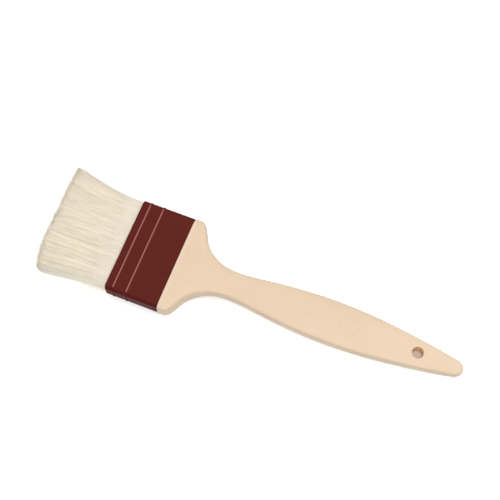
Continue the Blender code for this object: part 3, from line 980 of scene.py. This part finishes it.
def maroon_plastic():
    """Dark red-brown moulded plastic: satin, faintly rubbed, with a painted highlight on the ribs'
    crests and painted shade on its narrow sides.
    """
    maroon_dark, maroon_light = (0.066, 0.0105, 0.0080), (0.072, 0.0115, 0.0088)
    rubbed = (0.11, 0.022, 0.018, 1.0)
    crest_highlight_tone = (0.230, 0.090, 0.076, 1.0)
    flank_shade_tone = (0.054, 0.0072, 0.0052, 1.0)
    s = Shading("maroon_moulded_plastic")
    color = s.ramp(s.noise(60.0, 4.0), (0.3, maroon_dark), (0.7, maroon_light))
    rub = s.noise(1.0, 3.0, s.stretched(700, 45, 300), 0.5)
    rub = s.between(rub, 0.0, 1.0, 0.58, 0.8)
    color = s.mix(s.between(rub, 0.0, 0.12), color, rubbed)
    # Painted highlight on the ribs' crests.
    color = s.mix(s.between(s.attribute("crest_highlight"), 0.0, 1.0, 0.3, 0.8), color, crest_highlight_tone)
    # Painted shade on the narrow sides.
    color = s.mix(s.attribute("flank"), color, flank_shade_tone)
    rough = s.between(s.noise(220.0, 4.0), 0.28, 0.36, 0.3, 0.7)
    grain = s.bump(s.noise(2200.0, 2.0), 0.00002, 0.3)
    s.put(s.shader, Specular_IOR_Level=0.012)
    return s.surface(Base_Color=color, Roughness=rough, Normal=grain)


def bristle_hair():
    """Bleached natural bristle: own tone for each strand, painted shade at the root, paler tip, painted
    shade on the greyer sides.
    """
    yellowest, middle, palest = (0.748, 0.628, 0.436), (0.782, 0.672, 0.492), (0.804, 0.703, 0.537)
    root_shade_tone = (0.62, 0.535, 0.44, 1.0)
    tip_tone = (0.815, 0.728, 0.568, 1.0)
    streak_tone = (0.78, 0.665, 0.465, 1.0)
    side_shade_tone = (0.64, 0.59, 0.47, 1.0)
    s = Shading("bleached_bristle")
    along = s.attribute("along")
    color = s.ramp(s.attribute("tone"), (0.0, yellowest), (0.4, middle), (0.8, palest))
    # Painted shade at the root, inside the mouth.
    color = s.mix(s.between(along, 0.55, 0.0, 0.0, 0.5), color, root_shade_tone)
    color = s.mix(s.between(along, 0.0, 0.6, 0.55, 1.0), color, tip_tone)
    streak = s.noise(1.0, 3.0, s.stretched(30, 1500, 1500), 0.6)
    color = s.mix(s.between(streak, 0.0, 0.25, 0.4, 0.75), color, streak_tone)
    # Painted shade on the bank's sides.
    color = s.mix(s.between(s.attribute("side"), 0.0, 0.8), color, side_shade_tone)
    s.put(s.shader, Subsurface_Weight=0.5, Subsurface_Radius=(1.0, 0.9, 0.7), Subsurface_Scale=0.0008)
    s.put(s.shader, Sheen_Weight=0.15, Sheen_Roughness=0.4, Specular_IOR_Level=0.25, Roughness=0.45)
    return s.surface(Base_Color=color)


def amber_resin():
    """Cast setting resin: clear amber, uneven, glossy."""
    s = Shading("amber_cast_resin")
    cloud = s.noise(180.0, 5.0)
    color = s.ramp(cloud, (0.3, (0.45, 0.24, 0.07)), (0.7, (0.62, 0.38, 0.15)))
    rough = s.between(s.noise(500.0, 3.0), 0.12, 0.3)
    normal = s.bump(s.noise(350.0, 3.0), 0.00025, 0.6)
    s.put(s.shader, Coat_Weight=0.4, Coat_Roughness=0.1)
    return s.surface(Base_Color=color, Roughness=rough, Normal=normal)


def spacer_plastic():
    """Plain grey plastic strip with saw marks along it."""
    s = Shading("grey_spacer_plastic")
    marks = s.noise(1.0, 3.0, s.stretched(1800, 60, 900), 0.6)
    color = s.ramp(marks, (0.3, (0.50, 0.50, 0.48)), (0.7, (0.62, 0.62, 0.60)))
    rough = s.between(marks, 0.5, 0.7)
    return s.surface(Base_Color=color, Roughness=rough, Normal=s.bump(marks, 0.00006, 0.5))


# Stage, light and camera ----------------------------------------------------------------------------


def make_floor():
    """Pale floor: it rises a little to meet the thin grip and rolls down where the bristles bend."""
    roll = np.linspace(FLOOR_FOOT, FLOOR_EDGE, FLOOR_ROLL_STEPS)
    vertices = []
    for x in (-FLOOR_REACH, *roll, RAMP_START, RAMP_END, FLOOR_REACH):
        drop = FLOOR_DEPTH * float(smooth_step((FLOOR_EDGE - x) / (FLOOR_EDGE - FLOOR_FOOT)))
        rise = RAMP_SLOPE * (min(max(x, RAMP_START), RAMP_END) - RAMP_START)
        vertices += [(x, -FLOOR_REACH, rise - drop), (x, FLOOR_REACH, rise - drop)]
    faces = [(i, i + 2, i + 3, i + 1) for i in range(0, len(vertices) - 2, 2)]
    floor = new_object("floor", vertices, faces)
    s = Shading("pale_floor")
    shade = s.ramp(s.noise(6.0, 3.0), (0.3, (0.92, 0.92, 0.92)), (0.7, (0.94, 0.94, 0.94)))
    floor.data.materials.append(s.surface(Base_Color=shade, Roughness=0.9))


def make_world(strength, *levels):
    """Studio room: each level is a height on the unit sphere and the room's brightness there."""
    world = bpy.data.worlds.new("soft_white_studio")
    world.use_nodes = True
    tree = world.node_tree
    direction = tree.nodes.new("ShaderNodeTexCoord")
    parts = tree.nodes.new("ShaderNodeSeparateXYZ")
    ramp = tree.nodes.new("ShaderNodeValToRGB")
    elements = ramp.color_ramp.elements
    while len(elements) < len(levels):
        elements.new(0.5)
    for element, (height, brightness) in zip(elements, levels):
        element.position = height
        element.color = (brightness, brightness, brightness, 1.0)
    background = tree.nodes["Background"]
    background.inputs["Strength"].default_value = strength
    tree.links.new(direction.outputs["Generated"], parts.inputs["Vector"])
    tree.links.new(parts.outputs["Z"], ramp.inputs["Fac"])
    tree.links.new(ramp.outputs["Color"], background.inputs["Color"])
    bpy.context.scene.world = world


def area_light(name, direction, distance, size, radiance):
    """Soft box that looks at the brush from a direction; its power follows from its size."""
    data = bpy.data.lights.new(name, "AREA")
    data.shape = "RECTANGLE"
    data.size, data.size_y = size
    data.energy = radiance * math.pi * size[0] * size[1]
    light = bpy.data.objects.new(name, data)
    toward = Vector(direction).normalized()
    light.location = toward * distance
    light.rotation_mode = "QUATERNION"
    light.rotation_quaternion = toward.to_track_quat("Z", "Y")
    bpy.context.scene.collection.objects.link(light)


def make_camera():
    """Long lens above the brush's right side, turned a little about its line of sight."""
    azimuth = math.radians(CAMERA_AZIMUTH)
    elevation = math.radians(CAMERA_ELEVATION)
    roll = math.radians(CAMERA_ROLL)
    level_back = Vector((math.sin(azimuth), -math.cos(azimuth), 0.0))
    back = level_back * math.cos(elevation) + Vector((0.0, 0.0, math.sin(elevation)))
    right = Vector((math.cos(azimuth), math.sin(azimuth), 0.0))
    up = back.cross(right)
    turned_right = math.cos(roll) * right + math.sin(roll) * up
    turned_up = math.cos(roll) * up - math.sin(roll) * right
    data = bpy.data.cameras.new("camera")
    data.lens = CAMERA_LENS
    data.sensor_width = CAMERA_SENSOR
    data.clip_start = 0.01
    camera = bpy.data.objects.new("camera", data)
    turn = Matrix((turned_right, turned_up, back)).transposed().to_4x4()
    camera.matrix_world = Matrix.Translation(CAMERA_TARGET + back * CAMERA_DISTANCE) @ turn
    bpy.context.scene.collection.objects.link(camera)
    bpy.context.scene.camera = camera


def set_stage():
    """Camera, floor, light and view transform."""
    make_camera()
    make_floor()
    make_world(ROOM_STRENGTH, *ROOM_LEVELS)
    area_light("front_box", **FRONT_BOX)
    area_light("strip_box", **STRIP_BOX)
    scene = bpy.context.scene
    scene.cycles.diffuse_bounces = 10
    scene.cycles.max_bounces = 14
    scene.view_settings.view_transform = "Standard"
    scene.view_settings.look = "None"
    scene.view_settings.exposure = 0.0
    scene.view_settings.gamma = 1.0


# Assembly -------------------------------------------------------------------------------------------


def repaint(node, material):
    """Give a node that stays as the CAD made it its own material."""
    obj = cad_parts[node]
    obj.data.materials.clear()
    obj.data.materials.append(material)


def add_piece(obj, body, material, slot, *nodes):
    """Finish a piece that moves rigidly with a body and takes the place of CAD nodes."""
    obj.data.materials.append(material)
    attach(obj, body)
    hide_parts(*nodes)


def main():
    set_stage()
    add_piece(make_handle(), "handle_and_ferrule", ivory_plastic(), "ivory_plastic", "handle")
    add_piece(make_ferrule(), "handle_and_ferrule", maroon_plastic(), "maroon_plastic", "ferrule")
    repaint("resin_plug", amber_resin())
    repaint("spacer_strip", spacer_plastic())
    hair = bristle_hair()
    make_bank("upper", sign=1, seed=11, material=hair)
    make_bank("lower", sign=-1, seed=12, material=hair)


main()
